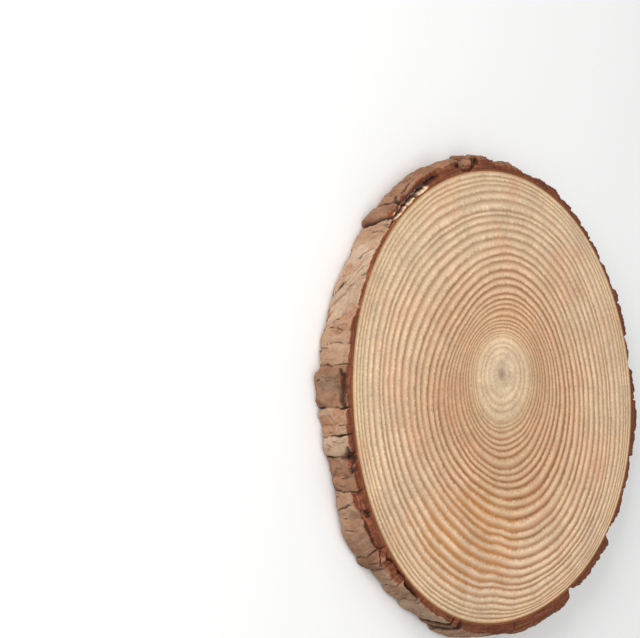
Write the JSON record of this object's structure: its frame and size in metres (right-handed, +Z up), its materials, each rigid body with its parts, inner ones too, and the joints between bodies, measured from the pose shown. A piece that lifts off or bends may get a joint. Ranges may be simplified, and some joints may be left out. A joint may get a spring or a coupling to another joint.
{
  "type": "wood slice",
  "caption": "Flat round slice sawn across a young pine trunk, with growth rings on both faces and bark all round, for a coaster, stand, sign or craft base.",
  "frame": {"origin": "Under the middle of the slice's overall outline, at the level of the surface that it lies on.", "axes": "+Z is up through the thickness, out of the display face. +X and +Y lie in the face: seen from above, the pith is off the middle towards +Y, and the plate of bark that stands out furthest is on the -X side."},
  "size_m": [0.1592, 0.1538, 0.011],
  "materials": {
    "wood": "sawn across the grain and lightly sanded, bare",
    "bark": "rough scaly bark, dry"
  },
  "bodies": {
    "root": {"wood_slice": "wood"}
  },
  "joints": []
}
